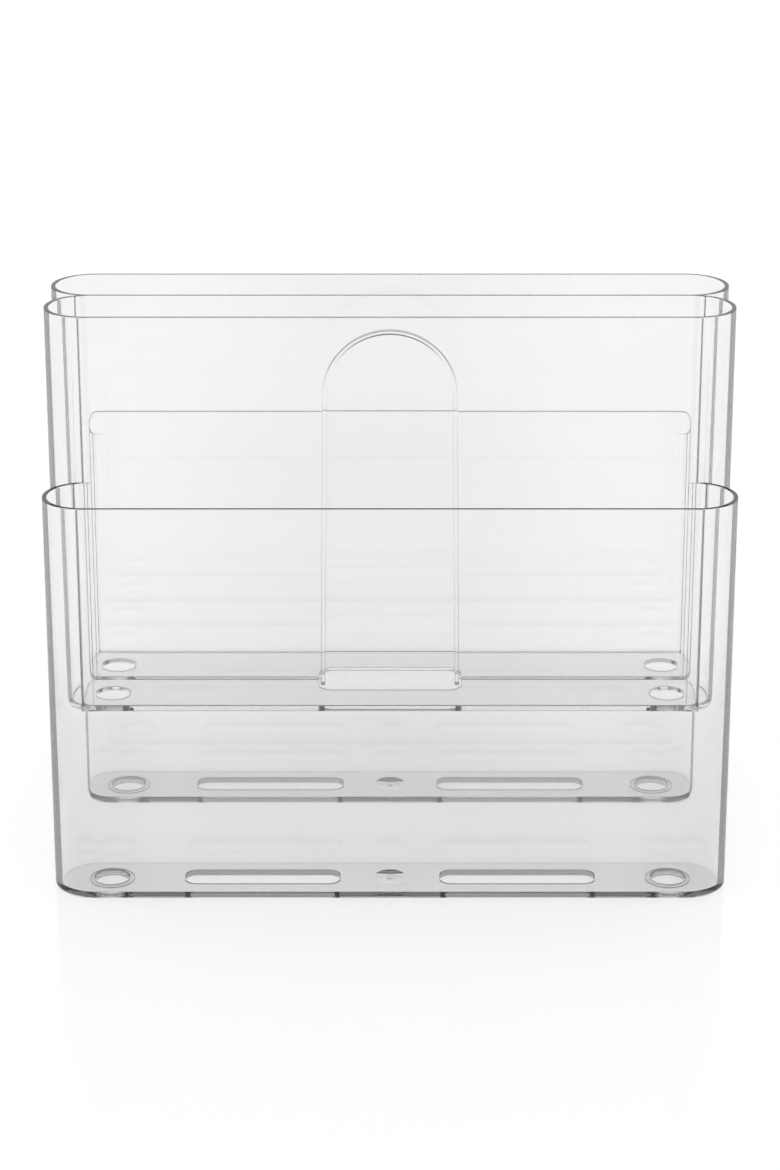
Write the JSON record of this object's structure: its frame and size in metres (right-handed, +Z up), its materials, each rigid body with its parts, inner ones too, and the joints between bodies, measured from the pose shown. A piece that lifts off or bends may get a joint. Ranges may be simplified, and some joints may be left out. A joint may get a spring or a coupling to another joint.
{
  "type": "magazine rack",
  "caption": "Clear plastic magazine rack with upright round-ended pockets, the high ones on raised floors between low outer ones, an arched carrying hand-hole in the divider, and ring feet.",
  "frame": {"origin": "on the surface that the rack stands on, under the middle of the rack", "axes": "+X along the pockets, to the right seen from the front; +Y from the front pocket to the back one; +Z up"},
  "size_m": [0.4, 0.1906, 0.344],
  "materials": {
    "clear_body": "polished, clear and colourless",
    "clear_foot": "polished, clear and colourless"
  },
  "bodies": {
    "root": {"front_low_pocket": "clear_body", "rear_low_pocket": "clear_body", "front_high_pocket": "clear_body", "rear_high_pocket": "clear_body", "handle_panel": "clear_body", "foot_front_left": "clear_foot", "foot_front_right": "clear_foot", "foot_rear_left": "clear_foot", "foot_rear_right": "clear_foot"}
  },
  "joints": []
}
